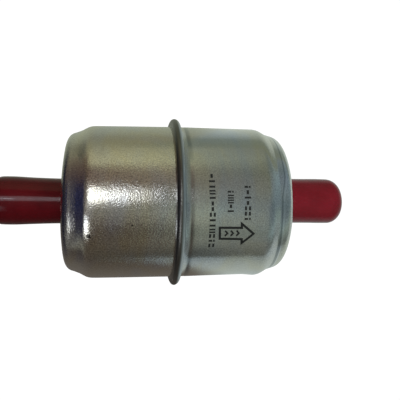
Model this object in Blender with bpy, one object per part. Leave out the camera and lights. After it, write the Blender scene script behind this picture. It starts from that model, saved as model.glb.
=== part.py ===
"""In-line fuel filter with a metal body, for 3/8 in hose.

Metres, +Z up. The origin is the centre of the body seam, on the filter's axis.
+X runs along the axis in the direction of flow, from the inlet to the outlet.
Every turned piece is a closed profile revolved about the X axis.
"""

import math

import bmesh
import bpy
from mathutils import Vector

MM = 0.001

# ---------------------------------------------------------------- driving sizes (mm)
SHELL_T = 0.65            # sheet thickness of the pressed shells
BODY_R_SEAM = 20.76       # outer radius of the body beside the seam
BODY_R_SHOULDER = 20.53   # outer radius at the shoulder, after a slight draft
SEAM_R = 23.00            # outer radius of the rolled seam
SEAM_T = 2.40             # thickness of the rolled seam along the axis
SHOULDER_X = 23.20        # outlet half: where the body wall turns in
NECK_X, NECK_R = 25.62, 19.18       # foot of the step between body wall and end dome
CORNER_X, CORNER_R = 29.72, 18.05   # where dome side and end face would meet
CORNER_FILLET = 2.90
END_X = 29.95             # flat end face of the outlet half
FLAT_R = 13.20            # outer radius of the flat part of the end face
LAND_R = 7.40             # inner radius of that flat, where a shallow dish round the nipple begins
DISH = 0.25               # depth of the dish
INLET_SHORTER = 0.91      # the inlet half stands this much shorter from the seam

TUBE_R = 4.76             # 3/8 in hose nipple
TUBE_BORE_R = 3.90
BEAD_R = 5.15             # hose bead
BEAD_FROM_TIP = 4.20
INLET_TIP_X = -46.90
OUTLET_TIP_X = 47.30
TUBE_IN_X = 24.40         # inner end of both nipples
COLLAR_R = 6.60           # collar inside the shell
COLLAR_T = 0.90

CAP_BORE_R = 5.32
CAP_GAP = 0.30            # mouth of the cap to the shell
INLET_CAP_R = (6.10, 6.47)    # outside radius at the mouth, and over the bead
OUTLET_CAP_R = (6.40, 6.45)
CAP_DOME_R = 3.90
INLET_CAP_TIP_X = -49.00
OUTLET_CAP_TIP_X = 49.00

PLEATS = 36
PAPER_OUT_R = 17.00
PAPER_IN_R = 10.30
PAPER_T = 0.55
CORE_R = 9.60
CORE_T = 0.50
ELEMENT_X0, ELEMENT_X1 = -14.60, 20.00   # outer faces of the two end discs
DISC_R = 18.40
DISC_T = 0.50
SPRING_R = 8.20
WIRE_R = 0.65
SPRING_TURNS = 2.5
ELEMENT_PLAY = 1.50       # travel of the element against its spring

SEG_BODY = 36
SEG_SMALL = 24


# ---------------------------------------------------------------- helpers
def clear_scene():
    for obj in list(bpy.data.objects):
        bpy.data.objects.remove(obj, do_unlink=True)


def material(name, colour, roughness, metallic):
    mat = bpy.data.materials.new(name)
    mat.use_nodes = True
    shader = mat.node_tree.nodes["Principled BSDF"]
    shader.inputs["Base Color"].default_value = (*colour, 1.0)
    shader.inputs["Roughness"].default_value = roughness
    shader.inputs["Metallic"].default_value = metallic
    mat.diffuse_color = (*colour, 1.0)
    return mat


def fillet(points, radii, steps):
    """Polyline (x, r) with its interior corners rounded, each with its own radius and number of steps."""
    out = [Vector(points[0])]
    for i in range(1, len(points) - 1):
        a, b, c = (Vector(p) for p in points[i - 1:i + 2])
        u, v = a - b, c - b
        lu, lv = u.length, v.length
        u.normalize()
        v.normalize()
        angle = math.acos(max(-1.0, min(1.0, u.dot(v))))
        radius = radii[i - 1]
        if radius <= 0.0 or math.pi - angle < 1e-3:
            out.append(b)
            continue
        reach = min(radius / math.tan(angle / 2), 0.48 * lu, 0.48 * lv)
        radius = reach * math.tan(angle / 2)
        middle = (u + v).normalized()
        centre = b + middle * (radius / math.sin(angle / 2))
        start, end = b + u * reach - centre, b + v * reach - centre
        a0, a1 = math.atan2(start.y, start.x), math.atan2(end.y, end.x)
        turn = (a1 - a0 + math.pi) % (2 * math.pi) - math.pi
        count = steps[i - 1]
        for k in range(count + 1):
            th = a0 + turn * k / count
            out.append(centre + Vector((math.cos(th), math.sin(th))) * radius)
    out.append(Vector(points[-1]))
    return [(p.x, p.y) for p in out]


def arc(cx, cr, radius, start, end, steps):
    """Points on an arc in the (x, r) half plane; angles in degrees from +X."""
    out = []
    for k in range(steps + 1):
        th = math.radians(start + (end - start) * k / steps)
        out.append((cx + radius * math.cos(th), cr + radius * math.sin(th)))
    return out


def mirrored(profile):
    return [(-x, r) for x, r in profile]


def finish_mesh(name, bm, mat, parent, origin=(0.0, 0.0, 0.0), sharp=35.0):
    """Makes the object, with its origin at a point given in mm."""
    bmesh.ops.recalc_face_normals(bm, faces=bm.faces)
    if bm.calc_volume(signed=True) < 0:
        bmesh.ops.reverse_faces(bm, faces=bm.faces)
    shift = Vector(origin) * MM
    bmesh.ops.translate(bm, vec=-shift, verts=bm.verts)
    mesh = bpy.data.meshes.new(name)
    bm.to_mesh(mesh)
    bm.free()
    mesh.shade_smooth()
    mesh.set_sharp_from_angle(angle=math.radians(sharp))
    mesh.materials.append(mat)
    obj = bpy.data.objects.new(name, mesh)
    bpy.context.scene.collection.objects.link(obj)
    obj.location = shift
    if parent is not None:
        obj.parent = parent
        obj.matrix_parent_inverse = parent.matrix_world.inverted()
    return obj


def lathe(name, profile, mat, parent, segments=SEG_BODY, origin=(0.0, 0.0, 0.0)):
    """Revolves a closed (x, r) profile about the X axis. Points at r = 0 become poles."""
    bm = bmesh.new()
    rings = []
    for x, r in profile:
        if r < 1e-6:
            rings.append([bm.verts.new((x * MM, 0.0, 0.0))])
            continue
        ring = []
        for k in range(segments):
            th = 2 * math.pi * k / segments
            ring.append(bm.verts.new((x * MM, r * MM * math.sin(th), r * MM * math.cos(th))))
        rings.append(ring)
    count = len(rings)
    for i in range(count):
        a, b = rings[i], rings[(i + 1) % count]
        if len(a) == 1 and len(b) == 1:
            continue
        for k in range(segments):
            n = (k + 1) % segments
            if len(a) == 1:
                bm.faces.new((a[0], b[k], b[n]))
            elif len(b) == 1:
                bm.faces.new((a[k], b[0], a[n]))
            else:
                bm.faces.new((a[k], b[k], b[n], a[n]))
    return finish_mesh(name, bm, mat, parent, origin)


def empty(name, location, parent=None):
    obj = bpy.data.objects.new(name, None)
    obj.empty_display_type = "ARROWS"
    obj.empty_display_size = 0.01
    bpy.context.scene.collection.objects.link(obj)
    obj.location = Vector(location) * MM
    if parent is not None:
        obj.parent = parent
    bpy.context.view_layer.update()
    return obj


# ---------------------------------------------------------------- profiles
def shell_half(shorter=0.0):
    """(outer points, inner points) of one half, both running from the seam to the nipple's hole."""
    t = SHELL_T
    outer = fillet(
        [(0.9, BODY_R_SEAM), (SHOULDER_X, BODY_R_SHOULDER), (NECK_X, NECK_R),
         (CORNER_X, CORNER_R), (END_X, FLAT_R), (END_X, LAND_R), (END_X - DISH, LAND_R - 0.40),
         (END_X - DISH, TUBE_R + 0.08)],
        [4.6, 1.6, CORNER_FILLET, 0.0, 0.0, 0.0], [2, 1, 3, 1, 1, 1])
    inner = fillet(
        [(0.9, BODY_R_SEAM - t), (SHOULDER_X - 0.20 * t, BODY_R_SHOULDER - t), (NECK_X - 0.25 * t, NECK_R - t),
         (CORNER_X - t, CORNER_R - 0.92 * t), (END_X - t, FLAT_R), (END_X - t, LAND_R - 0.10),
         (END_X - t - DISH, LAND_R - 0.50), (END_X - t - DISH, TUBE_R + 0.08)],
        [0.0, 0.0, CORNER_FILLET - t, 0.0, 0.0, 0.0], [1, 1, 2, 1, 1, 1])
    return ([(x - shorter, r) for x, r in outer if x > 1.5],
            [(x - shorter, r) for x, r in inner if x > 1.5])


def outlet_shell_profile():
    """The plain half: its flange, 0.52 thick, is gripped inside the rolled flange of the other half."""
    outer, inner = shell_half()
    flange = [
        (0.08, BODY_R_SEAM - SHELL_T),
        (0.08, 22.10),
        (0.60, 22.10),
        (0.60, BODY_R_SEAM + 0.50),
        (0.95, BODY_R_SEAM + 0.06),
    ]
    return flange + outer + inner[::-1]


def inlet_shell_profile():
    """The rolled half: its flange goes out, round the other half's flange and back down."""
    outer, inner = (mirrored(p) for p in shell_half(INLET_SHORTER))
    half = SEAM_T / 2
    tip_r = SEAM_R - half
    outside = [(-half - 0.70, BODY_R_SEAM), (-half - 0.20, BODY_R_SEAM + 0.20), (-half, BODY_R_SEAM + 0.72)]
    outside += arc(0.0, tip_r, half, 180, 0, 6)
    outside += [(half, BODY_R_SEAM + 0.46)]
    inside = [
        (half - 0.48, BODY_R_SEAM + 0.46),
        (half - 0.50, 22.20),
        (0.05, 22.42),
        (-half + 0.50, 22.20),
        (-half + 0.50, BODY_R_SEAM + 0.10),
        (-half + 0.34, BODY_R_SEAM - SHELL_T),
    ]
    return outer[::-1] + outside + inside + inner


def tube_profile(tip, face, side):
    """Nipple with a hose bead near its tip and a collar against the inside of the shell."""
    tip = abs(tip)
    bead = tip - BEAD_FROM_TIP
    back = face - DISH - SHELL_T - 0.08
    pts = [
        (TUBE_IN_X, TUBE_BORE_R),
        (TUBE_IN_X, TUBE_R - 0.25),
        (TUBE_IN_X + 0.35, TUBE_R),
        (back - COLLAR_T, TUBE_R),
        (back - COLLAR_T, COLLAR_R),
        (back, COLLAR_R),
        (back, TUBE_R),
        (bead - 1.0, TUBE_R),
        (bead - 0.35, BEAD_R - 0.04),
        (bead + 0.35, BEAD_R - 0.04),
        (bead + 1.0, TUBE_R),
        (tip - 0.40, TUBE_R),
        (tip, TUBE_R - 0.35),
        (tip, TUBE_BORE_R),
    ]
    return [(side * x, r) for x, r in pts]


def braze_profile(face, side):
    """Braze fillet in the corner between shell and nipple."""
    r, foot = TUBE_R + 0.05, face - DISH + 0.05
    pts = [(foot, r), (foot, r + 0.62), (foot + 0.15, r + 0.34), (foot + 0.70, r + 0.08), (foot + 0.70, r)]
    return [(side * x, p) for x, p in pts]


def cap_profile(face, tip, radii, side):
    """Push-on cap: open mouth by the shell, closed dome at the tip, widest over the nipple's bead."""
    mouth, tip = face + CAP_GAP, abs(tip)
    r_mouth, r_bead = radii
    dome_x = tip - CAP_DOME_R
    outside = [
        (mouth, r_mouth - 0.18),
        (mouth + 0.30, r_mouth),
        (dome_x - 1.6, r_bead),
        (dome_x, r_bead),
    ]
    outside += arc(dome_x, r_bead - CAP_DOME_R, CAP_DOME_R, 72, 0, 4)
    outside.append((tip, 0.0))
    inside = [
        (tip - 1.35, 0.0),
        (tip - 1.35, TUBE_BORE_R + 0.10),
        (tip - 2.30, CAP_BORE_R),
        (mouth, CAP_BORE_R),
    ]
    return [(side * x, r) for x, r in outside + inside]


# ---------------------------------------------------------------- special pieces
def coil_spring(name, mat, parent, origin):
    """Compression coil with closed, ground ends between the inlet shell and the spring seat."""
    x0 = -(END_X - INLET_SHORTER - SHELL_T) + 0.30 + WIRE_R
    x1 = ELEMENT_X0 - 1.35 - WIRE_R
    around, per_turn = 6, 12
    dead = 0.75
    total = SPRING_TURNS + 2 * dead
    steps = int(total * per_turn)
    bm = bmesh.new()
    rings = []
    for i in range(steps + 1):
        turn = total * i / steps
        live = min(max((turn - dead) / SPRING_TURNS, 0.0), 1.0)
        # closed end turns climb slightly so that they lie beside, not inside, the next turn
        lead = 2.05 * WIRE_R
        if turn < dead:
            x = x0 + lead * turn * 0.30
        elif turn > total - dead:
            x = x1 - lead * (total - turn) * 0.30
        else:
            a, b = x0 + lead * dead * 0.30, x1 - lead * dead * 0.30
            x = a + (b - a) * live
        th = 2 * math.pi * turn
        centre = Vector((x, SPRING_R * math.sin(th), SPRING_R * math.cos(th)))
        radial = Vector((0.0, math.sin(th), math.cos(th)))
        ring = []
        for k in range(around):
            ph = 2 * math.pi * k / around
            p = centre + radial * (WIRE_R * math.cos(ph)) + Vector((WIRE_R * math.sin(ph), 0.0, 0.0))
            ring.append(bm.verts.new(p * MM))
        rings.append(ring)
    for a, b in zip(rings, rings[1:]):
        for k in range(around):
            n = (k + 1) % around
            bm.faces.new((a[k], b[k], b[n], a[n]))
    bm.faces.new(rings[0])
    bm.faces.new(rings[-1][::-1])
    return finish_mesh(name, bm, mat, parent, origin, 60.0)


def pleated_sleeve(name, mat, parent, x0, x1, origin):
    """Zigzag sheet folded into a star and closed on itself."""
    bm = bmesh.new()
    loops = {}
    for key, offset in (("out", PAPER_T / 2), ("in", -PAPER_T / 2)):
        for x in (x0, x1):
            loop = []
            for k in range(PLEATS):
                for part, frac in (("tip", 0.0), ("root", 0.5)):
                    th = 2 * math.pi * (k + frac) / PLEATS
                    r = PAPER_OUT_R if part == "tip" else PAPER_IN_R
                    r += offset * 1.9   # measured along the radius, the sheet looks thicker
                    loop.append(bm.verts.new((x * MM, r * MM * math.sin(th), r * MM * math.cos(th))))
            loops[key, x] = loop
    n = PLEATS * 2
    for k in range(n):
        j = (k + 1) % n
        bm.faces.new((loops["out", x0][k], loops["out", x1][k], loops["out", x1][j], loops["out", x0][j]))
        bm.faces.new((loops["in", x0][k], loops["in", x0][j], loops["in", x1][j], loops["in", x1][k]))
        for x in (x0, x1):
            bm.faces.new((loops["out", x][k], loops["out", x][j], loops["in", x][j], loops["in", x][k]))
    return finish_mesh(name, bm, mat, parent, origin, 20.0)


def perforated_core(name, mat, parent, x0, x1, origin):
    """Tube with rows of square holes."""
    around, rows = 20, 9
    bm = bmesh.new()
    grids = {}
    xs = [x0 + (x1 - x0) * i / rows for i in range(rows + 1)]
    for key, r in (("out", CORE_R), ("in", CORE_R - CORE_T)):
        grids[key] = [[bm.verts.new((x * MM, r * MM * math.sin(2 * math.pi * k / around),
                                     r * MM * math.cos(2 * math.pi * k / around)))
                       for k in range(around)] for x in xs]

    def hole(i, k):
        k %= around
        return 0 < i < rows - 1 and i % 2 == 1 and (k + (i // 2) % 2 * 1) % 2 == 0

    for i in range(rows):
        for k in range(around):
            n = (k + 1) % around
            if not hole(i, k):
                o, q = grids["out"], grids["in"]
                bm.faces.new((o[i][k], o[i + 1][k], o[i + 1][n], o[i][n]))
                bm.faces.new((q[i][k], q[i][n], q[i + 1][n], q[i + 1][k]))
                continue
            o, q = grids["out"], grids["in"]
            ring = ((i, k), (i + 1, k), (i + 1, n), (i, n))
            for (a, b), (c, d) in zip(ring, ring[1:] + ring[:1]):
                bm.faces.new((o[a][b], o[c][d], q[c][d], q[a][b]))
    for i in (0, rows):
        for k in range(around):
            n = (k + 1) % around
            bm.faces.new((grids["out"][i][k], grids["out"][i][n], grids["in"][i][n], grids["in"][i][k]))
    return finish_mesh(name, bm, mat, parent, origin, 50.0)


def seam_clip(name, mat, parent, x0, x1, origin):
    """Folded metal strip that joins the two ends of the paper, outside one pleat tip."""
    half_w, depth, t = 0.62, 2.4, 0.22
    tip = PAPER_OUT_R + PAPER_T / 2 * 1.9 + 0.30
    # U section over a pleat tip, opening towards the axis; (tangent, radius) pairs
    slope = 0.20
    section = [
        (-half_w, tip), (half_w, tip),
        (half_w + slope, tip - depth), (half_w + slope - t, tip - depth),
        (half_w - t, tip - t), (-half_w + t, tip - t),
        (-half_w - slope + t, tip - depth), (-half_w - slope, tip - depth),
    ]
    bm = bmesh.new()
    ends = []
    for x in (x0, x1):
        ends.append([bm.verts.new((x * MM, s * MM, r * MM)) for s, r in section])
    n = len(section)
    for k in range(n):
        j = (k + 1) % n
        bm.faces.new((ends[0][k], ends[1][k], ends[1][j], ends[0][j]))
    for loop in ends:
        bm.faces.new((loop[0], loop[1], loop[4], loop[5]))
        bm.faces.new((loop[1], loop[2], loop[3], loop[4]))
        bm.faces.new((loop[0], loop[5], loop[6], loop[7]))
    return finish_mesh(name, bm, mat, parent, origin, 20.0)


# ---------------------------------------------------------------- the model
def build():
    clear_scene()
    zinc = material("zinc_plated_steel", (0.50, 0.49, 0.42), 0.28, 1.0)
    tin = material("bare_steel", (0.62, 0.61, 0.58), 0.35, 1.0)
    copper = material("braze_metal", (0.66, 0.42, 0.22), 0.40, 1.0)
    vinyl = material("red_vinyl", (0.30, 0.020, 0.028), 0.22, 0.0)
    rubber = material("black_rubber", (0.03, 0.03, 0.03), 0.75, 0.0)
    paper = material("filter_paper", (0.74, 0.52, 0.26), 0.90, 0.0)
    resin = material("potting_resin", (0.42, 0.10, 0.08), 0.55, 0.0)
    spring_steel = material("spring_steel", (0.36, 0.37, 0.38), 0.35, 1.0)

    def own(base, name):
        copy = base.copy()
        copy.name = name
        return copy

    housing = empty("housing", (0, 0, 0))
    element = empty("element", (ELEMENT_X0, 0, 0), housing)
    inlet_cap = empty("inlet_cap", (INLET_TIP_X, 0, 0), housing)
    outlet_cap = empty("outlet_cap", (OUTLET_TIP_X, 0, 0), housing)

    # housing
    lathe("inlet_shell", inlet_shell_profile(), own(zinc, "inlet_shell_zinc"), housing)
    lathe("outlet_shell", outlet_shell_profile(), own(zinc, "outlet_shell_zinc"), housing)
    lathe("seam_seal_ring", [(-0.60, 21.10), (-0.60, 22.05), (-0.02, 22.05), (-0.02, 21.10)],
          own(rubber, "seam_seal_rubber"), housing)
    inlet_face, outlet_face = END_X - INLET_SHORTER, END_X
    lathe("inlet_tube", tube_profile(INLET_TIP_X, inlet_face, -1), own(tin, "inlet_tube_steel"), housing, SEG_SMALL)
    lathe("outlet_tube", tube_profile(OUTLET_TIP_X, outlet_face, 1), own(tin, "outlet_tube_steel"), housing, SEG_SMALL)
    lathe("inlet_braze_ring", braze_profile(inlet_face, -1), own(copper, "inlet_braze_metal"), housing, SEG_SMALL)
    lathe("outlet_braze_ring", braze_profile(outlet_face, 1), own(copper, "outlet_braze_metal"), housing, SEG_SMALL)

    # shipping caps
    lathe("inlet_dust_cap", cap_profile(inlet_face, INLET_CAP_TIP_X, INLET_CAP_R, -1),
          own(vinyl, "inlet_cap_vinyl"), inlet_cap, SEG_SMALL, (INLET_TIP_X, 0, 0))
    lathe("outlet_dust_cap", cap_profile(outlet_face, OUTLET_CAP_TIP_X, OUTLET_CAP_R, 1),
          own(vinyl, "outlet_cap_vinyl"), outlet_cap, SEG_SMALL, (OUTLET_TIP_X, 0, 0))

    # spring, and the element that slides against it
    at = (ELEMENT_X0, 0, 0)
    coil_spring("element_spring", own(spring_steel, "element_spring_steel"), housing, (0, 0, 0))
    x0, x1, t = ELEMENT_X0, ELEMENT_X1, DISC_T
    seat_x = x0 - 0.30
    lathe("spring_seat",
          [(seat_x, 4.2), (seat_x, 10.2), (seat_x - 0.9, 10.6), (seat_x - 1.35, 10.5),
           (seat_x - 1.35, 10.05), (seat_x - 0.75, 9.75), (seat_x - 0.50, 4.8), (seat_x - 1.00, 4.2)],
          own(tin, "spring_seat_steel"), element, SEG_SMALL, at)
    lathe("closed_end_cap",
          [(x0, 0.0), (x0, DISC_R - 0.35), (x0 + 0.35, DISC_R), (x0 + 3.0, DISC_R), (x0 + 3.0, DISC_R - t),
           (x0 + t, DISC_R - t), (x0 + t, 8.0), (x0 + t, 0.0)],
          own(tin, "closed_end_cap_steel"), element, SEG_BODY, at)
    lathe("closed_end_adhesive",
          [(x0 + t + 0.1, 8.6), (x0 + t + 0.1, DISC_R - t - 0.1), (x0 + 1.6, DISC_R - t - 0.1), (x0 + 1.6, 8.6)],
          own(resin, "closed_end_resin"), element, SEG_BODY, at)
    lathe("open_end_adhesive",
          [(x1 - 1.6, 8.6), (x1 - 1.6, DISC_R - t - 0.1), (x1 - t - 0.1, DISC_R - t - 0.1), (x1 - t - 0.1, 8.6)],
          own(resin, "open_end_resin"), element, SEG_BODY, at)
    hole_r = 6.55
    lathe("open_end_cap",
          [(x1 - t, hole_r), (x1 - t, DISC_R - t), (x1 - 3.0, DISC_R - t), (x1 - 3.0, DISC_R),
           (x1 - 0.35, DISC_R), (x1, DISC_R - 0.35), (x1, hole_r)],
          own(tin, "open_end_cap_steel"), element, SEG_BODY, at)
    p0, p1 = x0 + 1.6 + 0.25, x1 - 1.6 - 0.25
    pleated_sleeve("pleated_paper", own(paper, "filter_paper_tan"), element, p0, p1, at)
    perforated_core("center_tube", own(tin, "center_tube_steel"), element, p0, p1, at)
    seam_clip("paper_seam_clip", own(tin, "paper_seam_clip_steel"), element, p0 + 1.4, p1 - 1.4, at)
    # grommet: a groove holds the end disc, a ledge rests on the nipple's inner end, a lip seals round it
    gi = TUBE_R + 0.10
    ledge = TUBE_IN_X - 0.30
    lip = TUBE_IN_X + ELEMENT_PLAY + 0.70   # still round the nipple when the element has moved back
    lathe("outlet_grommet",
          [(x1 - 1.55, TUBE_BORE_R), (x1 - 1.55, 7.9), (x1 - t - 0.08, 7.9), (x1 - t - 0.08, hole_r - 0.08),
           (x1 + 0.08, hole_r - 0.08), (x1 + 0.08, 7.9), (x1 + 1.60, 7.9), (x1 + 2.0, 7.3),
           (lip, 6.1), (lip, gi), (ledge, gi), (ledge, TUBE_BORE_R)],
          own(rubber, "grommet_rubber"), element, SEG_SMALL, at)


build()
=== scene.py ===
"""Looks of the in-line fuel filter: fine surfaces, materials, print, light, floor and camera.

Every size is in millimetres in the functions below and turned into metres when a mesh is made.
The frame's X axis is the filter's axis (flow runs towards +X), Z is up.
"""

import math

import bmesh
import bpy
import numpy as np
from mathutils import Matrix, Vector


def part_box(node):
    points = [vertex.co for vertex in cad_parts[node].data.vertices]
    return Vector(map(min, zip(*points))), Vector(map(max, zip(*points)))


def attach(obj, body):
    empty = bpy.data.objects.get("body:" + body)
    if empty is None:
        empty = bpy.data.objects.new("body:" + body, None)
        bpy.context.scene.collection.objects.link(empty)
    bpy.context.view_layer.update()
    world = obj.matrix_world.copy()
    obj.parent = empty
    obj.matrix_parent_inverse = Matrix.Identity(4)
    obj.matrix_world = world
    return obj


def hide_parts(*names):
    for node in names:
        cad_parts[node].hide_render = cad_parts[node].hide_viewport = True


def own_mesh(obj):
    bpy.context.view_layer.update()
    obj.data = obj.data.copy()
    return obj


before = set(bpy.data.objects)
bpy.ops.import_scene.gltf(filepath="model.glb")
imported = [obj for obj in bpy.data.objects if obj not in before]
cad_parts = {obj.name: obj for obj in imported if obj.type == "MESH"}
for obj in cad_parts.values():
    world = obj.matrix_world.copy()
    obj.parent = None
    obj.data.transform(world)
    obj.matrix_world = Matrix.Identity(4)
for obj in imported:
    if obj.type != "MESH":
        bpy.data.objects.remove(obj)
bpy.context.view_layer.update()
MM = 0.001

# ------------------------------------------------------------------ sizes read from the frame (mm)
box_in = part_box("inlet_shell")
box_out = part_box("outlet_shell")
box_cap_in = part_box("inlet_dust_cap")
box_cap_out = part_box("outlet_dust_cap")
box_tube_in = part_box("inlet_tube")
box_tube_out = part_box("outlet_tube")
SEAM_R = box_in[1].z / MM                 # 23.0
OUT_END = box_out[1].x / MM               # 29.95
IN_END = -box_in[0].x / MM                # 29.04
SHORTER = OUT_END - IN_END
SEAM_HALF = box_in[1].x / MM              # 1.2
CAP_IN_TIP = box_cap_in[0].x / MM
CAP_OUT_TIP = box_cap_out[1].x / MM
TUBE_IN_TIP = box_tube_in[0].x / MM
TUBE_OUT_TIP = box_tube_out[1].x / MM

SHELL_T = 0.65
BODY_R = 20.76
SHOULDER_R = 20.53
TUBE_R = 4.76
LAND_R = 7.40             # inner edge of the flat end face
DISH = 0.25               # shallow dish round the nipple


# ------------------------------------------------------------------ mesh helpers
def fillet(points, radii, steps=10):
    """Polyline (x, r) with rounded corners."""
    out = [np.array(points[0], float)]
    for i in range(1, len(points) - 1):
        a, b, c = (np.array(p, float) for p in points[i - 1:i + 2])
        u, v = a - b, c - b
        lu, lv = np.linalg.norm(u), np.linalg.norm(v)
        u, v = u / lu, v / lv
        angle = math.acos(max(-1.0, min(1.0, float(u @ v))))
        radius = radii[i - 1]
        if radius <= 0.0 or math.pi - angle < 1e-3:
            out.append(b)
            continue
        reach = min(radius / math.tan(angle / 2), 0.48 * lu, 0.48 * lv)
        radius = reach * math.tan(angle / 2)
        mid = (u + v) / np.linalg.norm(u + v)
        centre = b + mid * radius / math.sin(angle / 2)
        s, e = b + u * reach - centre, b + v * reach - centre
        a0, a1 = math.atan2(s[1], s[0]), math.atan2(e[1], e[0])
        turn = (a1 - a0 + math.pi) % (2 * math.pi) - math.pi
        for k in range(steps + 1):
            th = a0 + turn * k / steps
            out.append(centre + radius * np.array((math.cos(th), math.sin(th))))
    out.append(np.array(points[-1], float))
    return [tuple(p) for p in out]


def arc(cx, cr, radius, start, end, steps):
    return [(cx + radius * math.cos(math.radians(start + (end - start) * k / steps)),
             cr + radius * math.sin(math.radians(start + (end - start) * k / steps)))
            for k in range(steps + 1)]


def dense(points, step, closed=True):
    """Adds points along long stretches so that no edge is longer than step."""
    out = []
    n = len(points)
    for i in range(n if closed else n - 1):
        a, b = np.array(points[i], float), np.array(points[(i + 1) % n], float)
        if a[1] < 1e-6 and b[1] < 1e-6:
            out.append(tuple(a))
            continue
        count = max(1, int(math.ceil(np.linalg.norm(b - a) / step)))
        for k in range(count):
            out.append(tuple(a + (b - a) * k / count))
    if not closed:
        out.append(tuple(points[-1]))
    return out


def smooth_noise(x, th, seed, waves=9, fx=0.35, ft=9):
    """Repeatable low-frequency field over the turned surface, about -1 to 1."""
    rng = np.random.default_rng(seed)
    total = np.zeros(np.broadcast(x, th).shape)
    weight = 0.0
    for _ in range(waves):
        kx = rng.uniform(-fx, fx)
        kt = rng.integers(-ft, ft + 1)
        ph = rng.uniform(0, 2 * math.pi)
        a = 1.0 / (1.0 + 0.25 * abs(kt) + 2.0 * abs(kx))
        total = total + a * np.sin(kx * x + kt * th + ph)
        weight += a
    return total / weight * 2.0


def make_object(name, verts, faces, mat, sharp=32.0):
    mesh = bpy.data.meshes.new(name)
    mesh.from_pydata([tuple(v) for v in verts], [], faces)
    mesh.update()
    bm = bmesh.new()
    bm.from_mesh(mesh)
    bmesh.ops.recalc_face_normals(bm, faces=bm.faces)
    if bm.calc_volume(signed=True) < 0:
        bmesh.ops.reverse_faces(bm, faces=bm.faces)
    bm.to_mesh(mesh)
    bm.free()
    mesh.shade_smooth()
    mesh.set_sharp_from_angle(angle=math.radians(sharp))
    obj = bpy.data.objects.new(name, mesh)
    bpy.context.scene.collection.objects.link(obj)
    if mat is not None:
        mesh.materials.append(mat)
    return obj


def lathe(name, profile, segments, mat, wobble=None, sharp=32.0, shift=None, bend=None):
    """Closed (x, r) profile in mm turned about X. wobble(x, theta, r) returns a radial offset in mm,
    shift(x, theta, r) an offset along X and bend(x) an offset of the whole ring along Y."""
    th = np.arange(segments) * 2 * math.pi / segments
    verts, rings = [], []
    for x, r in profile:
        side_y = bend(x) if bend is not None else 0.0
        if r < 1e-6:
            rings.append((len(verts), 1))
            verts.append((x * MM, side_y * MM, 0.0))
            continue
        rr = np.full(segments, float(r))
        xx = np.full(segments, float(x))
        if shift is not None:
            xx = xx + shift(xx, th, float(r))
        if wobble is not None:
            rr = rr + wobble(np.full(segments, float(x)), th, float(r))
        rings.append((len(verts), segments))
        for k in range(segments):
            verts.append((xx[k] * MM, (rr[k] * math.sin(th[k]) + side_y) * MM, rr[k] * MM * math.cos(th[k])))
    faces = []
    for i in range(len(rings)):
        (a, na), (b, nb) = rings[i], rings[(i + 1) % len(rings)]
        if na == 1 and nb == 1:
            continue
        for k in range(segments):
            n = (k + 1) % segments
            if na == 1:
                faces.append((a, b + k, b + n))
            elif nb == 1:
                faces.append((a + k, b, a + n))
            else:
                faces.append((a + k, b + k, b + n, a + n))
    return make_object(name, verts, faces, mat, sharp)


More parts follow.
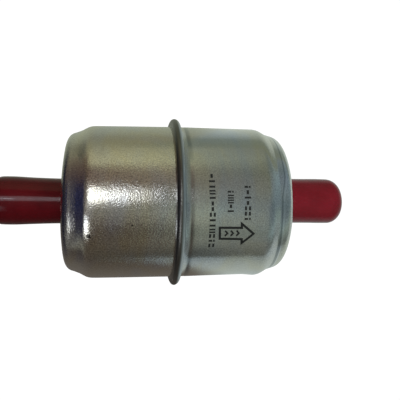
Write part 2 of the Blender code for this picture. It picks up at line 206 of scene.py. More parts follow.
# ------------------------------------------------------------------ node helpers
class Nodes:
    """Small wrapper so that materials read as a list of steps."""

    def __init__(self, name):
        self.mat = bpy.data.materials.new(name)
        self.mat.use_nodes = True
        self.tree = self.mat.node_tree
        self.tree.nodes.clear()
        self.out = self.tree.nodes.new("ShaderNodeOutputMaterial")

    def node(self, kind, **props):
        n = self.tree.nodes.new(kind)
        for k, v in props.items():
            setattr(n, k, v)
        return n

    def link(self, a, b):
        self.tree.links.new(a, b)

    def value(self, socket, v):
        if hasattr(v, "is_linked"):
            self.link(v, socket)
        else:
            socket.default_value = v

    def math(self, op, a, b=None, c=None, clamp=False):
        n = self.node("ShaderNodeMath", operation=op, use_clamp=clamp)
        self.value(n.inputs[0], a)
        if b is not None:
            self.value(n.inputs[1], b)
        if c is not None:
            self.value(n.inputs[2], c)
        return n.outputs[0]

    def vmath(self, op, a, b=None):
        n = self.node("ShaderNodeVectorMath", operation=op)
        self.value(n.inputs[0], a)
        if b is not None:
            self.value(n.inputs[1], b)
        return n.outputs[0] if op not in ("LENGTH", "DISTANCE", "DOT_PRODUCT") else n.outputs[1]

    def remap(self, v, a, b, c=0.0, d=1.0, smooth=False):
        n = self.node("ShaderNodeMapRange", interpolation_type="SMOOTHSTEP" if smooth else "LINEAR", clamp=True)
        self.value(n.inputs["Value"], v)
        n.inputs["From Min"].default_value = a
        n.inputs["From Max"].default_value = b
        n.inputs["To Min"].default_value = c
        n.inputs["To Max"].default_value = d
        return n.outputs["Result"]

    def mix(self, fac, a, b, blend="MIX"):
        n = self.node("ShaderNodeMix", data_type="RGBA", blend_type=blend)
        self.value(n.inputs["Factor"], fac)
        self.value(n.inputs[6], a)
        self.value(n.inputs[7], b)
        return n.outputs[2]

    def noise(self, vector, scale, detail=2.0, rough=0.5, distortion=0.0):
        n = self.node("ShaderNodeTexNoise")
        if vector is not None:
            self.link(vector, n.inputs["Vector"])
        n.inputs["Scale"].default_value = scale
        n.inputs["Detail"].default_value = detail
        n.inputs["Roughness"].default_value = rough
        n.inputs["Distortion"].default_value = distortion
        return n.outputs["Fac"]

    def voronoi(self, vector, scale, feature="F1"):
        n = self.node("ShaderNodeTexVoronoi", feature=feature)
        self.link(vector, n.inputs["Vector"])
        n.inputs["Scale"].default_value = scale
        return n.outputs["Distance"]

    def ramp(self, fac, stops, interpolation="LINEAR"):
        n = self.node("ShaderNodeValToRGB")
        cr = n.color_ramp
        cr.interpolation = interpolation
        cr.elements[0].position, cr.elements[0].color = stops[0][0], (*stops[0][1], 1.0)
        cr.elements[1].position, cr.elements[1].color = stops[-1][0], (*stops[-1][1], 1.0)
        for pos, col in stops[1:-1]:
            e = cr.elements.new(pos)
            e.color = (*col, 1.0)
        self.value(n.inputs[0], fac)
        return n.outputs["Color"]

    def position(self):
        n = self.node("ShaderNodeTexCoord")
        return n.outputs["Object"]

    def xyz(self, vector):
        n = self.node("ShaderNodeSeparateXYZ")
        self.link(vector, n.inputs[0])
        return n.outputs

    def combine(self, x, y, z):
        n = self.node("ShaderNodeCombineXYZ")
        self.value(n.inputs[0], x)
        self.value(n.inputs[1], y)
        self.value(n.inputs[2], z)
        return n.outputs[0]

    def bump(self, height, distance, strength=1.0, normal=None):
        n = self.node("ShaderNodeBump")
        n.inputs["Strength"].default_value = strength
        n.inputs["Distance"].default_value = distance
        self.link(height, n.inputs["Height"])
        if normal is not None:
            self.link(normal, n.inputs["Normal"])
        return n.outputs["Normal"]

    def principled(self, **values):
        n = self.node("ShaderNodeBsdfPrincipled")
        for k, v in values.items():
            self.value(n.inputs[k.replace("_", " ")], v)
        self.link(n.outputs["BSDF"], self.out.inputs["Surface"])
        return n


def cylinder_coords(n, length_scale=1.0):
    """(object position, x, angle round the axis, radius)"""
    p = n.position()
    x, y, z = n.xyz(p)
    angle = n.math("ARCTAN2", y, z)
    radius = n.math("SQRT", n.math("ADD", n.math("MULTIPLY", y, y), n.math("MULTIPLY", z, z)))
    return p, x, angle, radius


# ------------------------------------------------------------------ materials
def zinc_plate(name, grainy=1.0, seed=0.0, dark_spots=()):
    """Bright zinc plate with a thin chromate film: faint yellow, blue and pink drift, fine grain, edge wear, and
    painted sparkle, reflections, highlights and shade at the seam and near the outlet corner.
    """
    n = Nodes(name)
    p, x, angle, radius = cylinder_coords(n)
    across = n.math("SINE", angle)
    shifted = n.vmath("ADD", p, (seed, seed * 0.7, -seed))
    # film colour drifts slowly along the body and in streaks round it
    stretch = n.node("ShaderNodeMapping")
    stretch.inputs["Scale"].default_value = (1.0, 0.45, 0.45)
    n.link(shifted, stretch.inputs["Vector"])
    drift = n.noise(stretch.outputs[0], 70.0, 3.0, 0.55, 0.6)
    film = n.ramp(drift, [
        (0.28, (0.665, 0.705, 0.755)),
        (0.42, (0.725, 0.730, 0.700)),
        (0.52, (0.750, 0.725, 0.605)),
        (0.62, (0.730, 0.730, 0.680)),
        (0.78, (0.675, 0.720, 0.730)),
    ])
    patch = n.noise(shifted, 260.0, 3.0, 0.6)
    base = n.mix(n.remap(patch, 0.35, 0.7, 0.0, 0.22), film, (0.66, 0.65, 0.60, 1.0))
    # stains: a few darker, duller spots
    blotch = n.noise(shifted, 120.0, 4.0, 0.65, 0.4)
    stain = n.remap(blotch, 0.62, 0.74, 0.0, 0.22, True)
    base = n.mix(stain, base, (0.42, 0.40, 0.36, 1.0))
    # fine salt-and-pepper of the crystals, its contrast strongest over the top of the body and weaker down both sides,
    # where the lamp glints: partly real grain, partly painted sparkle of the lamp
    fleck = n.noise(n.vmath("ADD", p, (0.3, 0.1, 0.2)), 3300.0, 2.0, 0.75)
    grain_and_painted_sparkle = n.remap(across, 0.30, 0.70, 0.95 * (0.5 + 0.5 * grainy), 0.30 * (0.5 + 0.5 * grainy), True)
    grain_and_painted_sparkle = n.math("MULTIPLY", grain_and_painted_sparkle, n.remap(across, -0.95, -0.55, 0.12, 0.90, True))
    base = n.mix(grain_and_painted_sparkle, base, n.ramp(fleck, [(0.30, (0.50, 0.50, 0.50)), (0.50, (1.0, 1.0, 1.0)), (0.70, (1.42, 1.42, 1.42))]), "MULTIPLY")
    # a few small black spots on the plate
    for spot_centre, size in dark_spots:
        gap = n.vmath("DISTANCE", p, Vector(spot_centre) * MM)
        base = n.mix(n.remap(gap, size * 0.55 * MM, size * MM, 0.85, 0.0, True), base, (0.015, 0.014, 0.012, 1.0))
    # the rolled seam is coloured darker than the shells, its left half painted darker still and its right flank
    # painted light: painted reflections of the dark left and lighter right of the room
    rolled = n.math("MULTIPLY", n.remap(radius, 0.0209, 0.0213, 0.0, 1.0, True), n.remap(n.math("ABSOLUTE", x), 0.00125, 0.0014, 1.0, 0.0))
    # the crease where the ring meets the inlet half takes the dark ring tone too: painted shadow in the crease
    crease_painted_shadow = n.math("MULTIPLY", n.remap(radius, 0.020768, 0.02081, 0.0, 0.9, True), n.math("MULTIPLY", n.remap(x, -0.00145, -0.00135, 0.0, 1.0), n.remap(x, -0.0004, -0.0002, 1.0, 0.0)))
    rolled = n.math("MAXIMUM", rolled, crease_painted_shadow)
    streak = n.noise(n.combine(n.math("MULTIPLY", x, 3800.0), n.math("MULTIPLY", angle, 1.6), seed * 40.0), 1.0, 3.0, 0.6)
    # ring tone, streaked: painted dark reflection on the left half, painted light reflection on the right flank
    ring = n.mix(n.remap(x, 0.00015, 0.00055, 0.0, 1.0, True), n.mix(streak, (0.13, 0.135, 0.12, 1.0), (0.25, 0.25, 0.235, 1.0)),
                 n.mix(streak, (0.44, 0.46, 0.46, 1.0), (0.66, 0.68, 0.69, 1.0)))
    base = n.mix(rolled, base, ring)
    # a narrow dark bluish band painted on the outlet half just past the seam: painted reflection of something dark on
    # the flare
    flare_painted_reflection = n.math("MULTIPLY", n.remap(x, 0.00215, 0.0026, 0.0, 1.0, True), n.remap(x, 0.0029, 0.0039, 1.0, 0.0, True))
    flare_painted_reflection = n.math("MULTIPLY", flare_painted_reflection, n.remap(n.noise(p, 150.0, 2.0), 0.3, 0.6, 0.25, 0.75))
    base = n.mix(flare_painted_reflection, base, (0.33, 0.37, 0.38, 1.0))
    # near the outlet corner a dark line with a light band beside it, wandering round the body: painted dark reflection
    # and painted highlight of the dome's stripes
    wander = n.math("ADD", n.remap(across, 0.05, 0.42, 0.02620, 0.02725, True), n.math("MULTIPLY", n.remap(n.noise(p, 60.0, 1.0), 0.3, 0.7, -1.0, 1.0), 0.00012))
    off = n.math("SUBTRACT", x, wander)
    wide = n.remap(across, -0.75, -0.10, 0.00050, 0.00016, True)
    # dark line: painted dark reflection
    line = n.remap(n.math("DIVIDE", n.math("ABSOLUTE", off), wide), 0.55, 1.25, 1.0, 0.0, True)
    base = n.mix(n.math("MULTIPLY", line, 0.62), base, (0.24, 0.28, 0.29, 1.0))
    # light band beside the dark line: painted highlight
    painted_highlight_band = n.math("MULTIPLY", n.remap(off, 0.00032, 0.00048, 0.0, 1.0, True), n.remap(off, 0.00060, 0.00085, 1.0, 0.0, True))
    base = n.mix(n.math("MULTIPLY", painted_highlight_band, 0.55), base, (0.93, 0.95, 0.96, 1.0))
    # pressing and handling wear on convex edges
    geo = n.node("ShaderNodeNewGeometry")
    edge = n.remap(geo.outputs["Pointiness"], 0.515, 0.56, 0.0, 1.0)
    grain = n.noise(p, 2300.0, 2.0, 0.6)
    wear = n.math("MULTIPLY", edge, n.remap(grain, 0.4, 0.65, 0.2, 0.8))
    base = n.mix(wear, base, (0.80, 0.80, 0.79, 1.0))
    # grain of the plating: fine crystals over a slight orange peel
    peel = n.noise(p, 620.0, 2.0, 0.5)
    crystal = n.voronoi(p, 3400.0)
    height = n.math("ADD", n.math("MULTIPLY", grain, 0.80),
                    n.math("ADD", n.math("MULTIPLY", peel, 1.6), n.math("MULTIPLY", crystal, 0.22)))
    normal = n.bump(height, 0.000010, 0.55)
    # shallow waves of three sizes in the pressed sheet: dents, orange peel and pits
    normal = n.bump(n.noise(p, 72.0, 2.0, 0.5), 0.000090 * grainy, 1.0, normal)
    normal = n.bump(n.noise(p, 350.0, 2.0, 0.5), 0.000018 * grainy, 1.0, normal)
    normal = n.bump(n.noise(p, 1300.0, 2.0, 0.6), 0.000010 * grainy, 1.0, normal)
    normal = n.bump(n.noise(p, 2600.0, 2.0, 0.6), 0.000034 * grainy, 1.0, normal)
    # faint scratches that run round the body
    sv = n.node("ShaderNodeMapping")
    sv.inputs["Scale"].default_value = (1.0, 0.05, 0.05)
    sv.inputs["Rotation"].default_value = (0.0, 0.09, 0.05)
    n.link(p, sv.inputs["Vector"])
    lines = n.noise(sv.outputs[0], 3200.0, 1.0, 0.4)
    scratch = n.remap(lines, 0.70, 0.78, 0.0, 1.0)
    normal = n.bump(n.math("MULTIPLY", scratch, -1.0), 0.0000015, 0.5, normal)
    rough = n.math("ADD", n.remap(patch, 0.3, 0.7, 0.095, 0.15), n.math("MULTIPLY", stain, 0.35))
    rough = n.math("ADD", rough, n.remap(grain, 0.45, 0.7, 0.0, 0.07))
    # the inlet corner is stretched by the press, so it is duller
    rough = n.math("ADD", rough, n.remap(x, -0.0258, -0.0268, 0.0, 0.10, True))
    rough = n.math("ADD", n.math("MULTIPLY", rough, n.remap(rolled, 0.0, 1.0, 1.0, 0.25)), n.math("MULTIPLY", rolled, 0.31))
    n.principled(Base_Color=base, Metallic=1.0, Roughness=rough, Normal=normal)
    return n.mat


def tube_steel(name, tint=(0.66, 0.65, 0.61)):
    n = Nodes(name)
    p, x, angle, radius = cylinder_coords(n)
    rings = n.noise(n.combine(n.math("MULTIPLY", x, 5200.0), 0.0, 0.0), 1.0, 3.0, 0.7)
    patch = n.noise(p, 300.0, 3.0, 0.6)
    base = n.mix(n.remap(patch, 0.35, 0.7), (*tint, 1.0), (tint[0] * 0.82, tint[1] * 0.80, tint[2] * 0.74, 1.0))
    normal = n.bump(n.math("ADD", rings, n.noise(p, 2500.0, 2.0)), 0.000004, 0.6)
    rough = n.remap(patch, 0.3, 0.7, 0.20, 0.32)
    n.principled(Base_Color=base, Metallic=1.0, Roughness=rough, Normal=normal)
    return n.mat


def braze_metal(name):
    n = Nodes(name)
    p = n.position()
    flow = n.noise(p, 900.0, 3.0, 0.6, 0.5)
    base = n.ramp(flow, [(0.3, (0.52, 0.30, 0.13)), (0.5, (0.70, 0.47, 0.24)), (0.7, (0.44, 0.36, 0.28))])
    normal = n.bump(n.noise(p, 1500.0, 3.0, 0.6), 0.00005, 0.7)
    n.principled(Base_Color=base, Metallic=1.0, Roughness=n.remap(flow, 0.3, 0.7, 0.28, 0.5), Normal=normal)
    return n.mat


def dipped_vinyl(name, colour, deep):
    """Glossy dipped vinyl: thin skin over slow waves, tiny dust and scuffs."""
    n = Nodes(name)
    p, x, angle, radius = cylinder_coords(n)
    tone = n.noise(p, 190.0, 3.0, 0.55)
    base = n.mix(n.remap(tone, 0.3, 0.7), (*deep, 1.0), (*colour, 1.0))
    dust = n.noise(p, 2600.0, 2.0, 0.7)
    base = n.mix(n.remap(dust, 0.66, 0.80, 0.0, 0.20), base, (0.26, 0.10, 0.11, 1.0))
    scuff = n.noise(p, 420.0, 4.0, 0.7, 0.8)
    rough = n.math("ADD", n.remap(scuff, 0.45, 0.75, 0.07, 0.20), n.remap(dust, 0.6, 0.8, 0.0, 0.15))
    # the dip runs: slow waves along the cap and a soft ripple round it
    waves = n.noise(p, 240.0, 2.0, 0.5)
    normal = n.bump(waves, 0.00012, 0.5)
    normal = n.bump(n.noise(p, 3000.0, 2.0, 0.5), 0.000004, 0.5, normal)
    bsdf = n.principled(Base_Color=base, Roughness=rough, Normal=normal, IOR=1.52)
    n.value(bsdf.inputs["Subsurface Weight"], 0.12)
    bsdf.inputs["Subsurface Radius"].default_value = (0.0012, 0.0002, 0.0002)
    n.value(bsdf.inputs["Specular IOR Level"], 0.22)
    n.value(bsdf.inputs["Coat Weight"], 0.08)
    n.value(bsdf.inputs["Coat Roughness"], 0.06)
    return n.mat


def rubber(name):
    n = Nodes(name)
    p = n.position()
    grain = n.noise(p, 1800.0, 3.0, 0.6)
    bloom = n.noise(p, 220.0, 3.0, 0.6)
    base = n.mix(n.remap(bloom, 0.35, 0.7, 0.0, 0.5), (0.018, 0.018, 0.019, 1.0), (0.055, 0.054, 0.052, 1.0))
    n.principled(Base_Color=base, Roughness=n.remap(grain, 0.3, 0.7, 0.52, 0.78),
                 Normal=n.bump(grain, 0.00002, 0.6))
    return n.mat


def tinned_sheet(name):
    n = Nodes(name)
    p = n.position()
    cells = n.voronoi(p, 420.0)
    spangle = n.ramp(cells, [(0.0, (0.70, 0.70, 0.68)), (0.5, (0.60, 0.61, 0.61)), (1.0, (0.74, 0.73, 0.70))])
    grain = n.noise(p, 2400.0, 2.0, 0.6)
    n.principled(Base_Color=spangle, Metallic=1.0, Roughness=n.remap(cells, 0.0, 0.8, 0.22, 0.38),
                 Normal=n.bump(grain, 0.000008, 0.6))
    return n.mat


def spring_wire(name):
    n = Nodes(name)
    p = n.position()
    streak = n.noise(p, 900.0, 4.0, 0.6, 0.3)
    base = n.ramp(streak, [(0.3, (0.30, 0.30, 0.31)), (0.6, (0.46, 0.46, 0.46)), (0.8, (0.38, 0.35, 0.31))])
    n.principled(Base_Color=base, Metallic=1.0, Roughness=n.remap(streak, 0.3, 0.8, 0.22, 0.42),
                 Normal=n.bump(n.noise(p, 4000.0, 2.0), 0.000006, 0.6))
    return n.mat


def filter_paper(name):
    n = Nodes(name)
    p = n.position()
    sv = n.node("ShaderNodeMapping")
    sv.inputs["Scale"].default_value = (0.35, 1.0, 1.0)
    n.link(p, sv.inputs["Vector"])
    fibre = n.noise(sv.outputs[0], 2600.0, 5.0, 0.7, 0.4)
    cloud = n.noise(p, 160.0, 3.0, 0.6)
    base = n.ramp(cloud, [(0.3, (0.62, 0.42, 0.19)), (0.5, (0.74, 0.53, 0.27)), (0.72, (0.80, 0.61, 0.35))])
    base = n.mix(n.remap(fibre, 0.55, 0.75, 0.0, 0.35), base, (0.50, 0.33, 0.15, 1.0))
    n.principled(Base_Color=base, Roughness=0.92, Normal=n.bump(fibre, 0.00003, 0.8), Sheen_Weight=0.15)
    return n.mat


def potting(name):
    n = Nodes(name)
    p = n.position()
    cloud = n.noise(p, 350.0, 3.0, 0.6)
    base = n.mix(n.remap(cloud, 0.3, 0.7), (0.34, 0.075, 0.06, 1.0), (0.46, 0.13, 0.09, 1.0))
    bubbles = n.voronoi(p, 1600.0)
    n.principled(Base_Color=base, Roughness=n.remap(cloud, 0.3, 0.7, 0.42, 0.62),
                 Normal=n.bump(n.remap(bubbles, 0.0, 0.35), 0.00003, 0.5))
    return n.mat


def print_ink(name):
    """Black pad print, slightly worn, so that a little metal tone comes through."""
    n = Nodes(name)
    p = n.position()
    worn = n.noise(p, 3200.0, 3.0, 0.7)
    base = n.mix(n.remap(worn, 0.60, 0.82, 0.0, 0.35), (0.008, 0.009, 0.008, 1.0), (0.10, 0.105, 0.095, 1.0))
    n.principled(Base_Color=base, Roughness=n.remap(worn, 0.3, 0.7, 0.45, 0.65),
                 Normal=n.bump(worn, 0.000006, 0.6))
    return n.mat


ZINC_IN = zinc_plate("zinc_inlet", 1.0, 0.013, (((-21.95, -7.36, 19.17), 0.62), ((-21.60, -7.75, 19.05), 0.40), ((-11.6, -4.9, 20.1), 0.30)))
ZINC_OUT = zinc_plate("zinc_outlet", 0.45, 0.071)
TUBE = tube_steel("nipple_plate")
BRAZE = braze_metal("braze")
# one vinyl in two copies: the inlet cap's copy is darker as painted shade, the outlet cap's copy lighter as painted
# light
VINYL_SHADED_COPY = dipped_vinyl("vinyl_inlet_painted_shade", (0.085, 0.0035, 0.0065), (0.060, 0.0025, 0.0048))
VINYL_LIT_COPY = dipped_vinyl("vinyl_outlet_painted_light", (0.190, 0.0100, 0.0185), (0.150, 0.0080, 0.0140))
RUBBER = rubber("rubber_black")
SHEET = tinned_sheet("tinned_sheet")
WIRE = spring_wire("spring_wire")
PAPER = filter_paper("filter_paper")
RESIN = potting("potting_resin")
INK = print_ink("print_ink")


# ------------------------------------------------------------------ shells
def shell_profiles(shorter):
    t = SHELL_T
    outer = fillet([(3.6, BODY_R - 0.02), (23.20, SHOULDER_R), (25.62, 19.18), (29.72, 18.05), (OUT_END, 13.2),
                    (OUT_END, LAND_R), (OUT_END - DISH, LAND_R - 0.40), (OUT_END - DISH, TUBE_R + 0.08)],
                   [4.6, 1.8, 2.9, 0.0, 0.25, 0.25], 14)
    inner = fillet([(3.6, BODY_R - t - 0.02), (23.20 - 0.20 * t, SHOULDER_R - t), (25.62 - 0.25 * t, 19.18 - t),
                    (29.72 - t, 18.05 - 0.92 * t), (OUT_END - t, 13.2), (OUT_END - t, LAND_R - 0.10),
                    (OUT_END - t - DISH, LAND_R - 0.50), (OUT_END - t - DISH, TUBE_R + 0.08)],
                   [3.9, 2.4, 2.25, 0.0, 0.2, 0.2], 8)
    return ([(x - shorter, r) for x, r in outer], [(x - shorter, r) for x, r in inner])


def body_radius(x):
    """Outside radius of the outlet half at x mm from the seam (straight part)."""
    return BODY_R - 0.02 + (SHOULDER_R - BODY_R + 0.02) * (x - 3.6) / (23.20 - 3.6)


def press_wobble(seed, amount=0.016):
    def f(x, th, r):
        if r < 12.0:
            return np.zeros_like(th)
        keep = 1.0 if abs(float(x[0])) > 3.0 else 0.25
        return amount * keep * smooth_noise(x, th, seed)
    return f


def outlet_wobble():
    base = press_wobble(11)

    def f(x, th, r):
        # the near side of the outlet dome is pushed out a little
        near = np.clip(-np.sin(th), 0.0, 1.0) ** 3
        span = min(1.0, max(0.0, (float(x[0]) - 18.8) / 4.0))
        span = span * span * (3 - 2 * span) * min(1.0, max(0.0, (r - 13.2) / 3.0))
        return base(x, th, r) + 0.36 * span * near
    return f


outer, inner = shell_profiles(0.0)
# outlet half: its flange sits inside the rolled flange; beside the seam the wall flares up to it
flange = [(0.08, BODY_R - SHELL_T), (0.08, 22.04), (0.14, 22.10), (0.54, 22.10), (0.60, 22.04), (0.60, 21.62)]
flare = [(0.66, 21.48), (0.82, 21.30), (1.02, 21.14), (1.22, 21.02), (1.42, 20.93), (1.62, 20.86), (1.84, 20.80), (2.06, 20.755),
         (2.26, 20.725), (2.44, 20.712), (2.62, 20.712), (2.82, 20.722), (3.1, 20.734)]
lower = [(0.95, BODY_R - SHELL_T), ]
profile = flange + flare + outer + inner[::-1] + lower
outlet_skin = lathe("outlet_shell_skin", dense(profile, 1.4), 224, ZINC_OUT, outlet_wobble())
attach(outlet_skin, "housing")
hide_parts("outlet_shell")

# inlet half: flange rolled round the other and back down
outer_in, inner_in = shell_profiles(SHORTER)
inner_in = [(-x, r) for x, r in inner_in]


def inlet_outer():
    """Outer line of the inlet half from the seam to the nipple: wall slope (degrees) at each x, summed up."""
    slopes = [(3.6, 0.45), (12.0, 0.45), (19.5, 0.5), (20.6, 0.8), (21.1, 1.4), (21.5, 3.2), (22.0, 7.0), (22.5, 12.5), (23.0, 20.0),
              (23.4, 26.5), (23.8, 29.5), (24.2, 29.8), (24.6, 27.0), (25.0, 23.0), (25.4, 21.5), (26.0, 21.0), (26.3, 19.5), (26.55, 17.2),
              (26.8, 17.4), (27.1, 22.5), (27.5, 33.0), (28.0, 49.0), (28.4, 62.0), (28.7, 76.0), (28.85, 84.5), (28.93, 87.6)]
    xs = [3.6 + 0.02 * k for k in range(int((28.93 - 3.6) / 0.02) + 1)]
    phi = np.interp(xs, [q[0] for q in slopes], [q[1] for q in slopes])
    drop = np.concatenate([[0.0], np.cumsum(np.tan(np.radians((phi[1:] + phi[:-1]) / 2)) * 0.02)])
    r = 20.745 - drop
    keep, last = [(-xs[0], r[0])], 0
    for k in range(1, len(xs)):
        gap = math.hypot(xs[k] - xs[last], r[k] - r[last])
        if gap > 1.3 or (abs(phi[k] - phi[last]) > 2.2 and gap > 0.04):
            keep.append((-xs[k], float(r[k])))
            last = k
    end = [(-x, q) for x, q in fillet([(IN_END - 0.02, 14.6), (IN_END, 13.2), (IN_END, LAND_R), (IN_END - DISH, LAND_R - 0.40), (IN_END - DISH, TUBE_R + 0.08)],
                                      [0.0, 0.25, 0.25], 14)]
    return keep + [q for q in end if q[1] < keep[-1][1] - 0.2]


outer_in = inlet_outer()
h = SEAM_HALF
tip = SEAM_R - h
bead = [(-3.0, 20.750), (-2.0, 20.754), (-1.36, 20.757), (-1.085, 20.760), (-1.065, 20.86), (-1.05, 21.4)]
bead += arc(0.075, SEAM_R - 1.125, 1.125, 180, 0, 36)
bead += [(h, 21.60), (h - 0.01, 21.44), (h - 0.06, 21.35), (h - 0.16, 21.31), (h - 0.34, 21.31), (h - 0.44, 21.36), (h - 0.48, 21.46)]
inside = [(h - 0.50, 21.8), (h - 0.54, 22.14), (h - 0.70, 22.32), (0.30, 22.42), (-0.2, 22.42), (-h + 0.66, 22.32),
          (-h + 0.52, 22.14), (-h + 0.50, 21.9), (-h + 0.50, 20.95), (-h + 0.42, 20.45), (-h + 0.22, BODY_R - SHELL_T)]
profile = outer_in[::-1] + bead + inside + [(-3.6, BODY_R - SHELL_T - 0.02)] + inner_in


def seam_shift(x, th, r):
    """The rolled edge wanders: its inlet side sits nearer the outlet at the near and far sides."""
    s = np.sin(th)
    x0 = float(x[0])
    outside = 1.0 if (r >= 22.7 or x0 < -0.72) and r > 20.4 else 0.0
    fade = min(1.0, max(0.0, (0.5 - x0) / 1.5)) * min(1.0, max(0.0, (x0 + 4.0) / 2.4))
    return outside * fade * (0.14 * np.clip(s, 0, 1) ** 6 + 0.27 * np.clip(-s, 0, 1) ** 6)


inlet_skin = lathe("inlet_shell_skin", dense(profile, 1.4), 224, ZINC_IN, press_wobble(5), shift=seam_shift)
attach(inlet_skin, "housing")
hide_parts("inlet_shell")


# ------------------------------------------------------------------ nipples and braze
def tube_profile(tip_x, face):
    tip_x = abs(tip_x)
    back = face - DISH - SHELL_T - 0.08
    bead_x = tip_x - 4.2
    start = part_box("outlet_tube")[0].x / MM
    pts = [(start, 3.98), (start + 0.10, 3.90)]
    pts = [(start + 0.12, 3.90), (start, 4.02), (start, TUBE_R - 0.25), (start + 0.1, TUBE_R - 0.07), (start + 0.35, TUBE_R)]
    pts += [(back - 0.98, TUBE_R), (back - 0.90, TUBE_R + 0.08), (back - 0.90, 6.48), (back - 0.80, 6.60), (back - 0.12, 6.60), (back, 6.48),
            (back, TUBE_R + 0.06), (back + 0.06, TUBE_R)]
    pts += [(bead_x - 1.15 + 1.15 * k / 10 * 2, TUBE_R + 0.39 * 0.5 * (1 - math.cos(2 * math.pi * k / 10))) for k in range(11)]
    pts += [(tip_x - 0.75, TUBE_R), (tip_x - 0.30, TUBE_R - 0.10), (tip_x - 0.06, TUBE_R - 0.28), (tip_x, TUBE_R - 0.45),
            (tip_x - 0.02, 4.06), (tip_x - 0.16, 3.90)]
    return pts


def braze_profile(face):
    r = TUBE_R + 0.05
    foot = face - DISH + 0.05
    pts = [(foot, r)]
    for k in range(9):
        a = math.radians(90 * k / 8)
        pts.append((foot + 0.70 * (1 - math.cos(a)), r + 0.62 * (1 - math.sin(a))))
    pts.append((foot + 0.70, r))
    out = []
    for q in pts:
        if not out or math.hypot(q[0] - out[-1][0], q[1] - out[-1][1]) > 1e-4:
            out.append(q)
    return out


def braze_wobble(x, th, r):
    if r < TUBE_R + 0.07:
        return np.zeros_like(th)
    return 0.04 * smooth_noise(x, th, 3, ft=7) * (r - TUBE_R - 0.05) / 0.6


for side, name, tip_x, face in ((-1, "inlet", TUBE_IN_TIP, IN_END), (1, "outlet", TUBE_OUT_TIP, OUT_END)):
    prof = [(side * x, r) for x, r in tube_profile(tip_x, face)]
    o = lathe(f"{name}_tube_skin", dense(prof, 1.6), 96, TUBE)
    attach(o, "housing")
    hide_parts(f"{name}_tube")
    prof = [(side * x, r) for x, r in braze_profile(face)]
    o = lathe(f"{name}_braze_skin", prof, 96, BRAZE, braze_wobble)
    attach(o, "housing")
    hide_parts(f"{name}_braze_ring")


# ------------------------------------------------------------------ caps
def cap_profile(face, tip_x, r_mouth, r_bead, swell):
    mouth, tip_x = face + 0.30, abs(tip_x)
    dome = 3.9
    dome_x = tip_x - dome
    length = dome_x - mouth
    pts = []
    # rolled lip at the mouth
    pts += [(mouth, 5.50), (mouth, r_mouth - 0.24), (mouth + 0.05, r_mouth - 0.10), (mouth + 0.16, r_mouth - 0.02), (mouth + 0.32, r_mouth + 0.02),
            (mouth + 0.62, r_mouth)]
    steps = 26
    for k in range(1, steps):
        f = k / steps
        x = mouth + 0.62 + (length - 0.62) * f
        grow = f * f * (3 - 2 * f)
        extra = swell * math.exp(-((f - 0.80) / 0.16) ** 2)
        pts.append((x, r_mouth + (r_bead - r_mouth) * grow + extra))
    last = arc(dome_x, r_bead - dome, dome, 90, 0, 22)
    # the dome is a little flatter than a ball at its tip
    pts += last
    pts += [(tip_x, 0.0), (tip_x - 1.35, 0.0), (tip_x - 1.35, 3.2)]
    pts += arc(tip_x - 2.6, 4.06, 1.26, 0, 90, 6)[1:]
    pts += [(mouth + 0.25, 5.32), (mouth + 0.08, 5.38)]
    return pts


def cap_wobble(seed, amount):
    def f(x, th, r):
        if r < 5.7:
            return np.zeros_like(th)
        return amount * smooth_noise(x, th, seed, fx=0.5, ft=4)
    return f


for side, name, tip_x, face, rm, rb, swell, mat, seed in (
        (-1, "inlet", CAP_IN_TIP, IN_END, 6.10, 6.44, 0.05, VINYL_SHADED_COPY, 21),
        (1, "outlet", CAP_OUT_TIP + 0.22, OUT_END, 6.40, 6.43, 0.03, VINYL_LIT_COPY, 34)):
    prof = [(side * x, r) for x, r in cap_profile(face, tip_x, rm, rb, swell)]
    # both caps sit a hair askew on their nipples
    tilt = 0.20 if side < 0 else -0.18
    o = lathe(f"{name}_dust_cap_skin", dense(prof, 1.2), 128, mat, cap_wobble(seed, 0.03), 40.0,
              bend=lambda x, tilt=tilt: tilt * min(1.0, max(0.0, (abs(x) - 31.0) / 15.0)))
    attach(o, f"{name}_cap")
    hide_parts(f"{name}_dust_cap")


# ------------------------------------------------------------------ print on the outlet half
def wrap_solid(name, shapes, thickness=0.035, lift=0.012):
    """Flat shapes given as (x, arc) loops in mm, laid on the outlet half as thin closed solids."""
    verts, faces = [], []
    for loop in shapes:
        area = sum(loop[i][0] * loop[(i + 1) % len(loop)][1] - loop[(i + 1) % len(loop)][0] * loop[i][1] for i in range(len(loop)))
        if area < 0:
            loop = loop[::-1]
        base = len(verts)
        n = len(loop)
        for level in (lift - thickness, lift):
            for x, s in loop:
                rad = body_radius(x)
                th = s / rad
                r = rad + 0.004 + level
                verts.append((x * MM, r * MM * math.sin(th), r * MM * math.cos(th)))
        faces.append(tuple(base + i for i in range(n))[::-1])
        faces.append(tuple(base + n + i for i in range(n)))
        for i in range(n):
            j = (i + 1) % n
            faces.append((base + i, base + j, base + n + j, base + n + i))
    return make_object(name, verts, faces, INK, 20.0)


def stroke(points, width, step=0.5):
    """Row of quads that follow a path, each a convex loop; ends butt with a small overlap left out."""
    loops = []
    for (x0, s0), (x1, s1) in zip(points, points[1:]):
        length = math.hypot(x1 - x0, s1 - s0)
        ux, us = (x1 - x0) / length, (s1 - s0) / length
        nx, ns = -us * width / 2, ux * width / 2
        count = max(1, int(math.ceil(length / step)))
        for k in range(count):
            a, b = k / count * length, (k + 1) / count * length
            ax, as_, bx, bs = x0 + ux * a, s0 + us * a, x0 + ux * b, s0 + us * b
            loops.append([(ax + nx, as_ + ns), (bx + nx, bs + ns), (bx - nx, bs - ns), (ax - nx, as_ - ns)])
    return loops


